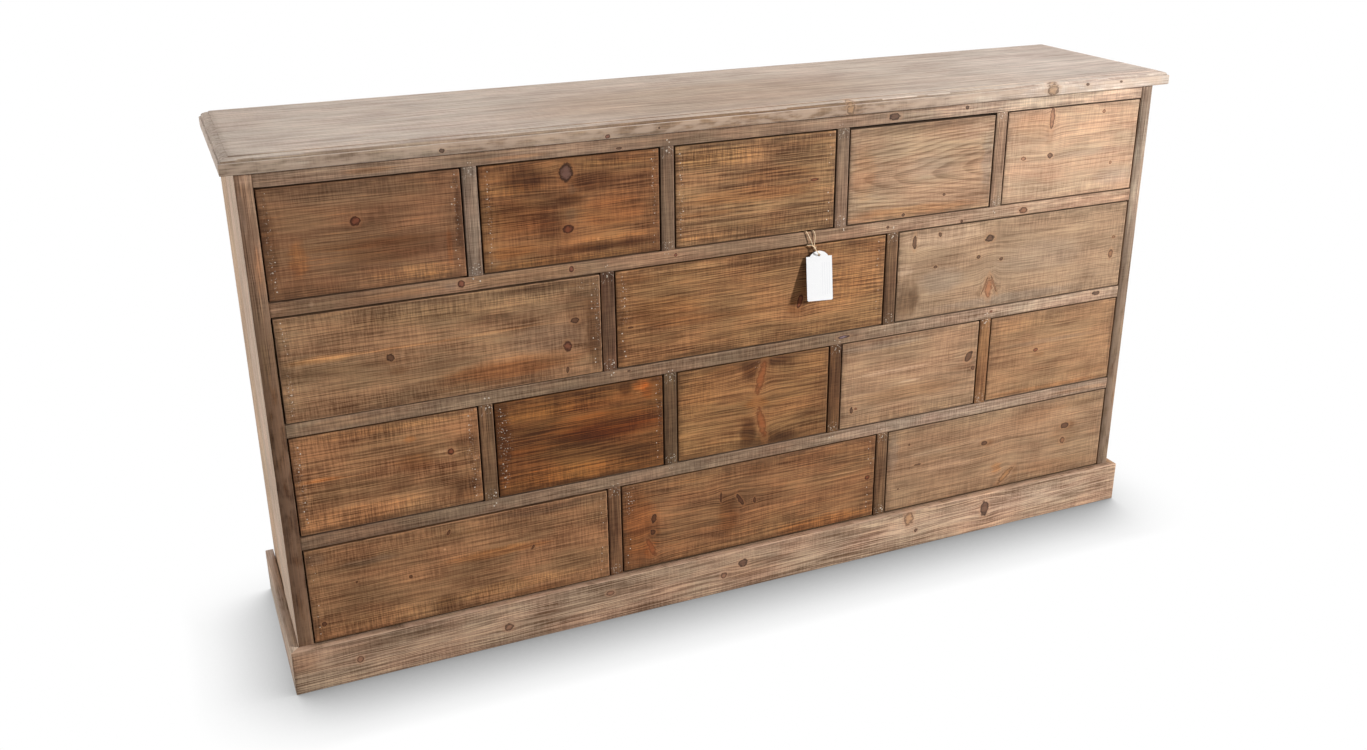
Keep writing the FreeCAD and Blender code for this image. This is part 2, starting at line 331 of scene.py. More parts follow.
def rectangle(a0, a1, b0, b1, n, m):
    """Points round a rectangle from its lower start corner, each with the direction to the inside."""
    length, width = a1 - a0, b1 - b0
    return ([(a0 + length * i / n, b0, (0 if i else 1, 1)) for i in range(n)]
            + [(a1, b0 + width * j / m, (-1, 0 if j else 1)) for j in range(m)]
            + [(a1 - length * i / n, b1, (0 if i else -1, -1)) for i in range(n)]
            + [(a0, b1 - width * j / m, (1, 0 if j else -1)) for j in range(m)])


def plain_profile(thick, least):
    """Sawn arrises at the back and worn ones round the face, as (inset, height, wobble) in mm."""
    insets = [inset for inset in (5.0, 14.0) if inset < 0.35 * least] or [0.2 * least]
    return [(0.5, 0.0, 0.0), (0.0, 0.5, 0.0), (0.0, thick - 1.3, 0.25), (0.3, thick - 0.45, 0.35),
            (1.1, thick - 0.05, 0.5)] + [(inset, thick, 0.0) for inset in insets]


class Timber:
    """A mesh of boards that becomes one piece. Each vertex knows its place in its board, in mm."""

    def __init__(self):
        self.mesh = bmesh.new()
        layers = self.mesh.verts.layers
        self.grain = layers.float_vector.new("grain")
        self.edge = layers.float.new("edge")
        self.seed = layers.float.new("seed")

    def board(self, low, high, grain, face, profile=None, sides=(1, 1, 1, 1), mitres=(0, 0), seed=0.0,
              step=16.0, slot=0):
        """Adds a board that fills the box from low to high. Its grain runs along one direction and its
        best face looks along another. profile is (inset, height, wobble) in mm from the back to the
        face, and sides says which of its edges (start, end, lower, upper) take the profile."""
        across = face.cross(grain)
        origin = Vector([high[i] if (grain + across + face)[i] < 0 else low[i] for i in range(3)])
        extent = Vector(high) - Vector(low)
        length, width, thick = (abs(extent.dot(axis)) / MM for axis in (grain, across, face))
        n = max(2, round(length / step))
        m = max(2, round(width / step))

        def place(u, v, w, edge):
            vert = self.mesh.verts.new(origin + (grain * u + across * v + face * w) * MM)
            vert[self.grain] = (u, v, w)
            vert[self.edge] = edge
            vert[self.seed] = seed
            return vert

        loops = []
        for inset, height, wobble in profile or plain_profile(thick, min(length, width)):
            around = []
            cut = [(thick - height) * mitre for mitre in mitres]
            for u, v, inward in rectangle(inset * sides[0] + cut[0], length - inset * sides[1] - cut[1],
                                          inset * sides[2], width - inset * sides[3], n, m):
                rough = noise.noise(Vector((u * 0.045, v * 0.045, seed * 9.7 + height * 0.13)))
                chip = max(0.0, noise.noise(Vector((u * 0.17, v * 0.17, seed * 5.3 + 40.0))) - 0.25)
                bite = wobble * (0.5 + 0.5 * rough + 1.4 * chip)
                sunk = 0.7 * bite if height > thick / 2 else 0.0
                around.append(place(u + inward[0] * bite, v + inward[1] * bite, height - sunk, inset))
            loops.append(around)
        add_bands(self.mesh, loops, slot)
        for loop, turned in ((loops[0], True), (loops[-1], False)):
            self.cap(loop, n, m, place, turned, seed, slot)

    def cap(self, loop, n, m, place, turned, seed, slot):
        """Closes a loop with a grid, whose face is a little uneven, as a hand plane leaves it."""
        loop_inset = 6.0  # about how far the loop lies inside the board's edges, in mm
        first, last = loop[0][self.grain], loop[n + m][self.grain]
        grid = [[None] * (m + 1) for _ in range(n + 1)]
        for i in range(n + 1):
            grid[i][0] = loop[i]
            grid[n - i][m] = loop[n + m + i]
        for j in range(m + 1):
            grid[n][j] = loop[n + j]
            grid[0][j] = loop[-j % len(loop)]
        for i in range(1, n):
            for j in range(1, m):
                u = first[0] + (last[0] - first[0]) * i / n
                v = first[1] + (last[1] - first[1]) * j / m
                dip = 0.22 * (0.5 + 0.5 * noise.noise(Vector((u * 0.012, v * 0.03, seed * 3.1))))
                inside = min(u - first[0], last[0] - u, v - first[1], last[1] - v)
                grid[i][j] = place(u, v, first[2] + (dip if turned else -dip), inside + loop_inset)
        for i in range(n):
            for j in range(m):
                corners = [grid[i][j], grid[i + 1][j], grid[i + 1][j + 1], grid[i][j + 1]]
                self.mesh.faces.new(corners[::-1] if turned else corners).material_index = slot

    def paint(self, direction, slot):
        """Gives the faces that look roughly along a direction another material."""
        bmesh.ops.recalc_face_normals(self.mesh, faces=self.mesh.faces)
        for face in self.mesh.faces:
            if face.normal.dot(direction) > 0.6:
                face.material_index = slot


def added(name, data):
    """A new object with that mesh, lamp or camera, in the scene."""
    made = bpy.data.objects.new(name, data)
    bpy.context.scene.collection.objects.link(made)
    return made


def finished(mesh, name, body, materials, sharp=50):
    """The bmesh as an object that rides on a body, smooth where its faces meet at less than sharp degrees."""
    data = bpy.data.meshes.new(name)
    bmesh.ops.recalc_face_normals(mesh, faces=mesh.faces)
    mesh.to_mesh(data)
    mesh.free()
    for polygon in data.polygons:
        polygon.use_smooth = True
    data.set_sharp_from_angle(angle=radians(sharp))
    for material in materials:
        data.materials.append(material)
    made = added(name, data)
    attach(made, body)
    return made


def solids(node):
    """The lowest and highest corner of each board of a CAD node, from left to right. An edge that four
    faces share is where two boards touch, so the walk from face to face doesn't cross it."""
    mesh = bmesh.new()
    mesh.from_mesh(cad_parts[node].data)
    bmesh.ops.remove_doubles(mesh, verts=mesh.verts, dist=0.01 * MM)
    boxes = []
    seen = set()
    for start in mesh.faces:
        if start in seen:
            continue
        seen.add(start)
        found = [start]
        for face in found:
            for edge in face.edges:
                for other in edge.link_faces:
                    if len(edge.link_faces) == 2 and other not in seen:
                        seen.add(other)
                        found.append(other)
        corners = [vert.co for face in found for vert in face.verts]
        boxes.append(tuple(tuple(pick(co[i] for co in corners) for i in range(3)) for pick in (min, max)))
    mesh.free()
    return sorted(boxes)


def lay(low, high, towards):
    """Grain along a board's longest side, face along its shortest, on the side that looks towards."""
    shortest, _, longest = sorted(range(3), key=lambda i: high[i] - low[i])
    face = (X, Y, Z)[shortest]
    return (X, Y, Z)[longest], face if face.dot(towards) >= 0 else -face


def single(node, body, grain, face, look, seed, front=None, **options):
    """Replaces a CAD node of one board by a worn one. front is the look of its edge towards -Y."""
    low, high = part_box(node)
    timber = Timber()
    timber.board(low, high, grain, face, seed=seed, **options)
    materials = [pine(node, look)]
    if front:
        timber.paint(-Y, 1)
        materials.append(pine(node + "_edge", front))
    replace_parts(finished(timber.mesh, node + "_wood", body, materials), node)


def several(node, body, materials, aim, seed, spread, step=40.0):
    """Replaces a CAD node of several boards. aim gives a board's grain and face for its two corners."""
    timber = Timber()
    for i, (low, high) in enumerate(solids(node)):
        grain, face = aim(low, high)
        timber.board(low, high, grain, face, seed=seed + spread * i, step=step, slot=i % len(materials))
    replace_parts(finished(timber.mesh, node + "_wood", body, materials), node)


# ---- The boards' looks -------------------------

# Drawers, numbered from left to right and from the top row down.
FRONT_LOOKS = {
    1: Look((130, 94, 69), contrast=0.55, blotch=0.7, rings=0.25, saw=0.3, grime=0.6,
        knots=dict(red=[(141, 113, 7.5, 7)]),
        stains_and_light=dict(honey=[(50, 62, 16, 32, 0.5), (225, 20, 90, 12, 1), (262, 9, 36, 8, 1)],
            rust=[(50, 62, 18, 36, 0.8), (286, 56, 6, 34, 0.9)], soot=[(8, 85, 16, 80, 0.5),
            (50, 12, 80, 14, 0.3), (306, 95, 8, 80, 0.7)], umber=[(190, 62, 90, 26, 0.6),
            (170, 74, 170, 8, 0.5)], grey=[(110, 160, 130, 24, 0.6)], specks=[(10, 60, 5, 110, 0.5),
            (302, 110, 5, 60, 0.5)])),
    2: Look((124, 86, 57), contrast=0.85, blotch=1.1, hues=0.9, rings=0.25, saw=0.4, grime=0.6,
        knots=dict(grey=[(146, 154, 11, 15, 8)], red=[(146, 58, 9, 7)]),
        stains_and_light=dict(soot=[(76, 150, 44, 26, 0.75), (196, 136, 50, 20, 0.7), (150, 108, 30, 12, 0.9),
            (118, 64, 26, 20, 0.8), (210, 21, 110, 9, 1)], grey=[(152, 80, 14, 16, 1), (154, 128, 8, 14, 1),
            (14, 24, 12, 26, 1)], chalk=[(154, 126, 6, 12, 0.3), (128, 64, 9, 14, 0.4),
            (14, 26, 12, 24, 0.3), (198, 34, 3, 3, 0.9)], rust=[(40, 30, 60, 12, 0.7),
            (66, 88, 66, 34, 0.7), (230, 80, 70, 34, 0.6)], honey=[(60, 135, 56, 12, 0.8),
            (230, 164, 70, 8, 0.7), (160, 6, 150, 6, 0.9), (220, 34, 80, 7, 0.6)],
            specks=[(14, 110, 5, 80, 0.5), (301, 110, 5, 70, 0.5)])),
    3: Look((135, 101, 72), contrast=1, blotch=1, rings=0.4, saw=0.5, grime=0.6,
        knots=dict(red=[(269, 93, 8, 2.5)]),
        stains_and_light=dict(honey=[(80, 152, 90, 20, 0.9), (60, 12, 60, 8, 0.8)], umber=[(200, 110, 90, 18, 0.6),
            (60, 54, 70, 6, 0.6)], soot=[(176, 24, 120, 10, 0.55), (240, 158, 60, 8, 0.4)],
            rust=[(150, 80, 150, 18, 0.7)], specks=[(10, 100, 6, 80, 0.5)])),
    4: Look((162, 133, 109), contrast=0.4, rings=0.5, pith=(-0.06, 82, -60), spacing=4.2, saw=0.15,
        knots=dict(dark=[(207, 35, 3, 3), (119, 5, 4, 3)]),
        stains_and_light=dict(soot=[(130, 168, 150, 12, 0.45)], chalk=[(275, 150, 44, 20, 0.4)],
            rust=[(140, 10, 170, 14, 1), (30, 90, 30, 60, 0.5)], umber=[(60, 20, 60, 12, 0.4)],
            grey=[(300, 90, 14, 60, 1), (170, 92, 60, 26, 0.6)])),
    5: Look((178, 147, 123), contrast=0.35, blotch=0.45, fibre=0.55, rings=0.22, pith=(-0.01, 100, -30),
        spacing=6, saw=0.25, grime=0.45,
        knots=dict(dark=[(105, 86, 6, 5)], brown=[(102, 160, 5, 21), (43, 86, 5, 4), (225, 162, 3.5, 3.5),
            (254, 58, 3, 3)]),
        stains_and_light=dict(soot=[(100, 125, 10, 34, 0.25)], grey=[(200, 84, 120, 9, 0.4), (270, 30, 60, 20, 0.7)],
            rust=[(60, 150, 60, 30, 0.3)])),
    6: Look((138, 106, 80), contrast=0.65, blotch=0.9, rings=0.3, spacing=4.5, saw=0.45, worn=0.9,
        knots=dict(dark=[(174, 87, 6.5, 6.5), (490, 102, 7, 5), (473, 14, 2.5, 5)], red=[(475, 58, 7, 9)]),
        stains_and_light=dict(fresh=[(66, 101, 58, 7, 0.85), (200, 102, 170, 2.5, 0.5), (390, 105, 90, 2, 0.4)],
            chalk=[(186, 89, 14, 7, 0.25), (40, 130, 50, 50, 0.14), (40, 50, 50, 20, 0.14)],
            umber=[(184, 62, 16, 10, 0.5), (350, 30, 130, 20, 0.75)], soot=[(526, 84, 20, 90, 0.85),
            (498, 120, 26, 50, 0.5), (330, 12, 160, 3, 0.6), (440, 170, 110, 8, 0.6),
            (100, 80, 130, 8, 0.35), (340, 128, 60, 12, 0.35)], rust=[(380, 36, 130, 24, 0.8)],
            grey=[(440, 80, 90, 30, 0.8)], honey=[(290, 150, 200, 18, 0.35)],
            specks=[(505, 168, 12, 12, 0.7), (531, 110, 5, 70, 0.8), (13, 46, 6, 40, 0.8),
            (14, 150, 5, 30, 0.6)])),
    7: Look((136, 98, 66), contrast=0.95, blotch=0.8, rings=0.42, pith=(0.01, 40, -60), spacing=4.5,
        grime=0.6,
        knots=dict(dark=[(26, 73, 5, 2)], red=[(359, 73, 5, 13, 15)]),
        stains_and_light=dict(soot=[(26, 160, 44, 12, 0.55), (250, 160, 240, 4, 0.6), (480, 168, 44, 7, 0.6),
            (8, 60, 10, 70, 0.5)], umber=[(352, 62, 20, 18, 0.7), (170, 70, 160, 10, 0.5)],
            chalk=[(130, 168, 110, 5, 0.35), (16, 176, 10, 3, 1), (69, 90, 1.4, 80, 0.3)],
            honey=[(440, 90, 90, 40, 0.6)], rust=[(90, 96, 90, 30, 0.6)], specks=[(14, 130, 8, 50, 0.5)])),
    8: Look((151, 123, 98), contrast=0.4, hues=0.25, rings=0.12, spacing=9, saw=0.3,
        knots=dict(dark=[(35, 155, 4, 13), (91, 164, 3.5, 4), (206, 142, 9, 7), (183, 107, 4, 3.5),
            (237, 96, 4, 3.5), (85, 100, 4, 3)], flame=[(212, 39, 8, 18)], brown=[(512, 107, 4, 3),
            (509, 72, 5, 9), (203, 46, 1.8, 17, 20), (224, 46, 1.8, 19, -24)]),
        stains_and_light=dict(chalk=[(100, 158, 110, 22, 0.5), (14, 100, 22, 12, 0.5)], soot=[(39, 45, 11, 40, 0.5),
            (16, 50, 26, 40, 0.3), (24, 36, 32, 34, 0.65), (192, 34, 7, 18, 0.4), (232, 34, 7, 18, 0.4)],
            grey=[(260, 12, 200, 12, 1), (100, 70, 60, 30, 0.9), (330, 90, 120, 40, 0.6)])),
    9: Look((139, 100, 71), contrast=0.7, blotch=1, rings=0.35, spacing=5, saw=0.6, grime=0.6,
        knots=dict(red=[(260, 105, 5.5, 5.5)]),
        stains_and_light=dict(chalk=[(243, 110, 15, 5, 0.7), (262, 104, 15, 12, 0.35), (10, 130, 12, 40, 0.2),
            (7, 136, 3, 12, 0.5)], fresh=[(36, 97, 36, 4, 0.85)], rust=[(52, 95, 44, 3, 0.8),
            (192, 142, 10, 8, 0.9)], umber=[(200, 98, 36, 20, 0.75)], soot=[(195, 112, 90, 3, 0.5),
            (284, 32, 34, 32, 0.6), (290, 120, 24, 18, 0.4), (90, 6, 120, 5, 0.45)],
            honey=[(150, 168, 140, 8, 0.6), (100, 24, 130, 20, 0.5)], specks=[(298, 90, 8, 90, 0.5),
            (12, 110, 8, 70, 0.5)])),
    10: Look((111, 71, 40), contrast=0.95, blotch=1.1, hues=0.9, rings=0.25, grime=0.7,
        stains_and_light=dict(soot=[(240, 166, 16, 18, 0.8), (10, 138, 16, 46, 0.75), (14, 80, 18, 24, 0.5),
            (190, 86, 90, 10, 0.4), (262, 30, 40, 26, 0.35)], flamed=[(268, 168, 16, 14, 0.6)],
            rust=[(280, 156, 14, 22, 1), (200, 104, 120, 30, 1), (60, 78, 50, 12, 0.7)],
            chalk=[(263, 153, 6, 3, 0.8), (7, 71, 12, 2.5, 0.7)], honey=[(110, 148, 110, 14, 0.85),
            (130, 20, 130, 20, 0.8)], umber=[(190, 92, 120, 20, 0.9)], specks=[(14, 120, 12, 60, 0.8),
            (12, 40, 8, 20, 0.7), (304, 120, 5, 60, 0.6)])),
    11: Look((133, 95, 62), contrast=0.9, blotch=0.9, rings=0.42, pith=(0, 90, -60), spacing=4.5, saw=0.3,
        grime=0.6,
        knots=dict(flame=[(168, 140, 7.5, 33, 14), (170, 48, 7.5, 31, -12)]),
        stains_and_light=dict(soot=[(96, 170, 60, 12, 0.6), (146, 160, 22, 26, 1), (200, 170, 46, 12, 0.9),
            (142, 30, 20, 40, 1), (200, 10, 60, 18, 0.95), (190, 78, 30, 4, 0.4)],
            rust=[(160, 90, 30, 14, 1)], honey=[(40, 120, 50, 40, 0.4)], specks=[(160, 166, 5, 8, 0.9)])),
    12: Look((148, 117, 92), contrast=0.5, hues=0.5, spacing=6.5, saw=0.28, grime=0.45,
        knots=dict(dark=[(291, 106, 7, 11, 30), (303, 79, 4.5, 4.5), (25, 36, 3.5, 6)],
            red=[(35, 38, 2.5, 2.5)]),
        stains_and_light=dict(chalk=[(116, 105, 90, 6, 0.6), (157, 78, 30, 3, 0.7)], umber=[(170, 54, 130, 16, 0.3),
            (272, 84, 34, 6, 0.4)], rust=[(150, 54, 150, 20, 0.3)], soot=[(243, 122, 0.8, 26, 0.7)],
            grey=[(80, 164, 130, 10, 1)], honey=[(150, 10, 170, 10, 0.3)])),
    13: Look((144, 110, 81), contrast=0.5, hues=0.5, rings=0.25, spacing=6, saw=0.28,
        knots=dict(red=[(115, 93, 5, 4)]),
        stains_and_light=dict(soot=[(250, 28, 62, 10, 0.4), (14, 128, 18, 14, 0.4), (306, 90, 4, 90, 0.5)],
            umber=[(126, 82, 18, 5, 0.5)], grey=[(150, 110, 130, 6, 0.9)], chalk=[(217, 65, 60, 1.6, 0.5)],
            honey=[(60, 150, 90, 20, 0.3)], rust=[(150, 6, 170, 6, 0.7)])),
    14: Look((136, 99, 71), contrast=0.65, blotch=0.7, rings=0.28, spacing=6, saw=0.5, worn=0.9,
        knots=dict(dark=[(19, 33, 4, 4), (172, 89, 3, 3), (244, 160, 2.5, 5, 30), (393, 95, 2, 5, 30),
            (80, 101, 2.2, 2)]),
        stains_and_light=dict(rust=[(330, 100, 110, 10, 1)], honey=[(320, 107, 90, 5, 0.6), (350, 26, 140, 14, 0.8),
            (120, 20, 110, 20, 0.4)], grey=[(440, 168, 120, 12, 1), (104, 137, 60, 8, 1),
            (18, 160, 22, 14, 1)], soot=[(440, 168, 120, 10, 0.4), (300, 152, 110, 5, 0.45),
            (230, 20, 24, 20, 0.6), (400, 7, 70, 6, 0.6), (15, 20, 14, 22, 0.35)],
            chalk=[(235, 128, 2.6, 2.6, 1), (104, 137, 50, 6, 0.2)])),
    15: Look((127, 90, 62), contrast=0.75, blotch=0.9, rings=0.3, spacing=6, grime=0.6,
        knots=dict(dark=[(62, 98, 5, 9, 10), (60, 70, 5, 6), (200, 114, 2.5, 9), (240, 100, 4, 14, -28),
            (271, 92, 3, 6)], red=[(522, 88, 6, 4)], flame=[(56, 38, 5, 21, -24)]),
        stains_and_light=dict(rust=[(30, 90, 46, 90, 0.9), (52, 36, 12, 24, 1), (430, 12, 130, 16, 0.8)],
            umber=[(24, 80, 40, 90, 0.4), (214, 70, 24, 50, 0.8), (400, 160, 100, 10, 0.4)],
            soot=[(60, 80, 16, 30, 0.5), (280, 158, 26, 18, 0.55)], honey=[(430, 12, 130, 14, 0.6),
            (300, 40, 120, 30, 0.3)], chalk=[(465, 109, 44, 1.6, 0.5)], specks=[(534, 131, 3, 9, 0.9),
            (14, 150, 9, 32, 1)])),
    16: Look((142, 112, 87), contrast=0.5, hues=0.5, spacing=6.5, saw=0.28, grime=0.45,
        knots=dict(dark=[(234, 109, 7, 4.5), (439, 111, 10, 6), (50, 142, 2.2, 2.2), (72, 93, 9, 2),
            (29, 46, 1.8, 1.8)], gold=[(293, 22, 6, 22, 48)], brown=[(436, 76, 6, 7)]),
        stains_and_light=dict(umber=[(350, 150, 60, 24, 0.3), (460, 158, 80, 10, 0.4), (440, 92, 44, 34, 0.35),
            (430, 22, 110, 20, 0.35), (240, 109, 22, 9, 0.7), (446, 111, 24, 11, 0.7),
            (318, 20, 10, 22, 0.4)], chalk=[(98, 115, 62, 6, 0.6), (220, 118, 60, 5, 0.4),
            (150, 76, 70, 16, 0.3)], grey=[(12, 130, 16, 50, 1)], rust=[(268, 46, 16, 14, 1)])),
}
# The pale patches towards the rails' right ends are painted light: the wood is lightened where more lamp
# light falls.
RAIL_LOOKS = {
    "top": Look((148, 124, 106), spacing=4, saw=0.2, grime=0.35,
        knots=dict(dark=[(1112, 12, 11, 6), (1267, 15, 4, 3), (582, 5, 5, 2)]),
        stains_and_light=dict(rust=[(171, 10, 50, 6, 0.8), (408, 8, 60, 4, 0.8)], soot=[(330, 14, 50, 10, 0.4),
            (620, 14, 120, 10, 0.2)], painted_light=[(1510, 14, 360, 40, 1)], honey=[(1600, 14, 300, 40, 0.25)],
            umber=[(780, 10, 200, 24, 0.4)])),
    "1": Look((143, 113, 91), spacing=4, saw=0.2, grime=0.35,
        knots=dict(dark=[(1109, 12, 3, 2), (1273, 4, 3, 3)], red=[(302, 14, 6, 6), (491, 14, 4, 5),
            (681, 14, 3, 3)], brown=[(1415, 10, 9, 6)]),
        stains_and_light=dict(chalk=[(8, 12, 12, 8, 0.5), (63, 14, 5, 6, 0.6)], soot=[(60, 12, 200, 24, 0.45)],
            rust=[(200, 12, 80, 8, 0.5), (420, 12, 130, 14, 0.5)], painted_light=[(1420, 12, 420, 40, 0.9)],
            grey=[(290, 12, 20, 8, 0.9)])),
    "2": Look((139, 114, 94), spacing=4, grime=0.4,
        knots=dict(dark=[(1617, 16, 9, 4), (589, 18, 3, 2)], grey=[(1023, 13, 12, 3)],
            red=[(1358, 15, 3, 2)]),
        stains_and_light=dict(soot=[(540, 12, 160, 24, 0.3), (900, 12, 200, 20, 0.35)],
            painted_light=[(1500, 12, 420, 40, 0.95)], umber=[(90, 12, 90, 10, 0.35)])),
    "3": Look((133, 109, 91), spacing=4, grime=0.4,
        stains_and_light=dict(umber=[(60, 12, 260, 24, 0.4)], painted_light=[(1180, 12, 220, 14, 0.35),
            (1420, 12, 400, 40, 0.6)], rust=[(1600, 10, 90, 6, 0.5)])),
    "4": Look((120, 94, 72), rings=0.4, spacing=4, saw=0.2),
}
DIVIDER_TONES = {  # of the posts between the drawers, by row, from left to right
    1: ((137, 115, 100), (113, 89, 72), (125, 101, 84), (147, 121, 101)),
    2: ((96, 69, 52), (105, 77, 56)),
    3: ((117, 88, 65), (93, 70, 51), (93, 64, 41), (130, 91, 61)),
    4: ((109, 77, 55), (111, 83, 60)),
}
DIVIDER_STAINS = dict(grey=[(4, 12, 12, 16, 0.5), (180, 12, 12, 16, 0.5)],
    specks=[(8, 12, 16, 16, 0.7), (176, 12, 16, 16, 0.7)])
STILE_LOOKS = {
    "side_left_front_board": Look((189, 165, 147), contrast=0.45, blotch=0.4, hues=0.3, rings=0.12, saw=0.1,
        grime=0.3),
    "side_left_rear_board": Look((184, 156, 133), hues=0.4, rings=0.25, saw=0.1),
    "side_right_front_board": Look((160, 130, 106), contrast=0.7, blotch=0.8, rings=0.3, saw=0.15),
    "side_right_rear_board": Look((154, 125, 101), contrast=0.7, blotch=0.8, rings=0.3, saw=0.15),
}
# The pale patches near the stiles' upper ends are painted light: the wood is lightened where more lamp light
# falls.
STILE_FRONTS = {
    "side_left_front_board": Look((108, 83, 65), contrast=1, blotch=1.1, spacing=4, saw=0.2, grime=0.4,
        edgewise=True,
        stains_and_light=dict(chalk=[(905, 13, 14, 16, 0.8)], painted_light=[(810, 13, 170, 40, 0.95)],
            grey=[(850, 20, 40, 6, 0.8), (300, 20, 260, 4, 1)], rust=[(760, 8, 50, 8, 0.8),
            (470, 13, 120, 14, 0.6)], umber=[(600, 13, 120, 18, 0.4), (180, 13, 90, 16, 0.5)],
            soot=[(430, 13, 160, 30, 0.7), (270, 8, 160, 30, 0.65)])),
    "side_right_front_board": Look((123, 103, 87), contrast=0.9, blotch=0.8, spacing=4, saw=0.2,
        edgewise=True,
        stains_and_light=dict(soot=[(890, 13, 16, 6, 0.6)], umber=[(300, 13, 300, 30, 0.5)],
            painted_light=[(800, 13, 260, 40, 0.95)])),
}
# The pale patches towards the top edge's right end are painted light, where more lamp light falls.
TOP_EDGE_LOOK = Look((148, 129, 113), contrast=0.5, blotch=0.6, fibre=0.5, hues=0.4, rings=0.15, spacing=6,
    saw=0.15, grime=0.3, worn=0.5, edgewise=True,
    knots=dict(dark=[(329, 7, 4, 3), (692, 10, 2, 2), (1570, 15, 4, 2), (1650, 14, 3, 2)],
        red=[(602, 4, 4, 4)], gold=[(1055, 11, 7, 11), (1490, 10, 12, 9)]),
    stains_and_light=dict(chalk=[(111, 8, 22, 6, 0.6)], painted_light=[(1600, 10, 420, 40, 1), (1680, 10, 300, 40, 0.25)],
        umber=[(850, 10, 360, 40, 0.85)], soot=[(200, 14, 60, 8, 0.3)], grey=[(700, 6, 240, 8, 0.4)],
        rust=[(430, 12, 160, 6, 0.25)]))
# The pale patch at the top's right end is painted light, where more lamp light falls.
TOP_LOOK = Look((180, 164, 153), contrast=0.5, blotch=0.25, fibre=0.6, hues=0.25, rings=0.14,
    pith=(0, 150, -80), spacing=7, saw=0.1, grime=0.25, worn=0.4,
    knots=dict(gold=[(1490, -1, 12, 10), (1055, 2, 8, 12)]),
    stains_and_light=dict(umber=[(850, 140, 420, 160, 0.5)], painted_light=[(1650, 200, 260, 260, 0.25)]))
# The pale patches on the right half of the plinth front are painted light, where more lamp light falls.
PLINTH_LOOKS = {
    "plinth_front": Look((157, 130, 111), contrast=0.85, blotch=0.8, rings=0.35, spacing=6, saw=0.25,
        grime=0.3, worn=0.5,
        knots=dict(dark=[(850, 55, 9, 8), (1245, 37, 4, 4), (1413, 50, 9, 16)], gold=[(1226, 68, 10, 14)],
            brown=[(113, 42, 5, 6), (379, 36, 8, 7), (576, 57, 7, 5), (809, 38, 6, 6)]),
        stains_and_light=dict(soot=[(183, 66, 150, 10, 0.45), (640, 60, 120, 12, 0.3)],
            painted_light=[(1500, 50, 220, 24, 0.3), (1150, 40, 160, 20, 0.2)], umber=[(20, 60, 30, 24, 0.4),
            (860, 40, 60, 24, 0.35)])),
    "plinth_left": Look((175, 154, 140), contrast=0.5, blotch=0.8, saw=0.1, grime=0.4),
    "plinth_right": Look((160, 130, 104), contrast=0.7, blotch=0.8, rings=0.3, saw=0.1),
}
INNER_LOOK = Look((150, 116, 80), contrast=0.7, blotch=0.8, rings=0.4, saw=0.45, grime=0.2, worn=0.15)
BOX_LOOK = Look((178, 142, 100), blotch=0.8, rings=0.45, grime=0.15, worn=0.15)
# its gap setting is painted shade on the back boards' sides between them
BACK_LOOK = Look((156, 124, 94), blotch=0.8, rings=0.4, saw=0.4, grime=0.6, worn=0.2, gap=0.9)


# ---- The case and its drawers ------------------

def top_profile(thick):
    """The stepped ovolo along the top's edge, as (inset, height, wobble) in mm."""
    ledge, riser_foot, ovolo_width, ovolo_height, quirk = 3.5, 18.0, 13.0, 5.0, 1.5
    step = thick - quirk - ovolo_height
    profile = [(1.2, 0.0, 0.2), (0.2, 0.7, 0.3), (0.0, 2.0, 0.2), (0.0, riser_foot - 1.2, 0.2),
               (0.5, riser_foot - 0.3, 0.4), (1.3, riser_foot, 0.2), (ledge, riser_foot, 0.0),
               (ledge, step, 0.1)]
    for i in range(1, 6):
        angle = pi / 2 * i / 5
        profile.append((ledge + ovolo_width * (1 - cos(angle)), step + ovolo_height * sin(angle), 0.05))
    inset = ledge + ovolo_width
    return profile + [(inset, thick - 0.6, 0.1), (inset + 0.7, thick, 0.3), (inset + 8, thick, 0.0),
                      (inset + 24, thick, 0.0)]


def build_case():
    low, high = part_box("top_board")
    single("top_board", "carcass", X, Z, TOP_LOOK, 0.11, front=TOP_EDGE_LOOK,
           profile=top_profile((high.z - low.z) / MM), sides=(1, 1, 1, 0), step=24.0)
    for number, (node, look) in enumerate(STILE_LOOKS.items()):
        hand = -X if "left" in node else X
        single(node, "carcass", Z, hand, look, 0.2 + 0.07 * number, front=STILE_FRONTS.get(node))
    for number, (name, look) in enumerate(RAIL_LOOKS.items()):
        # painted shade on the rails' sides inside the drawer gaps
        look.gap = 0.6
        single("front_rail_" + name, "carcass", X, -Y, look, 0.5 + 0.09 * number)
    for row, tones in DIVIDER_TONES.items():
        node = "dividers_row_%d" % row
        # the gap setting is painted shade on the posts' sides inside the drawer gaps
        looks = [Look(tone, contrast=0.7, blotch=0.8, spacing=4.0, saw=0.25, grime=0.4, gap=0.7,
                      stains_and_light=DIVIDER_STAINS) for tone in tones]
        materials = [pine("%s_%d" % (node, i + 1), look) for i, look in enumerate(looks)]
        several(node, "carcass", materials, lambda low, high: (Z, -Y), row, 0.17, 16.0)
    for name, grain, face, mitres in (
            ("front", X, -Y, (1, 1)), ("left", -Y, -X, (0, 1)), ("right", Y, X, (1, 0))):
        node = "plinth_" + name
        single(node, "carcass", grain, face, PLINTH_LOOKS[node], 0.9 + 0.01 * len(name), mitres=mitres)


def build_inside():
    """Runners, guides, rails and back boards, which show behind an open drawer or from the back."""
    inner = [pine("inner_pine", INNER_LOOK)]
    nodes = ["runners_row_%d" % row for row in (1, 2, 3, 4)]
    nodes += ["kickers", "drawer_guides", "back_rails", "drawer_stops"]
    for number, node in enumerate(nodes):
        several(node, "carcass", inner,
                lambda low, high: lay(low, high, Z - Y), 0.31 * number, 0.07)
    several("back_boards", "carcass", [pine("back_boards", BACK_LOOK)],
            lambda low, high: (Z, Y), 2.3, 0.19)


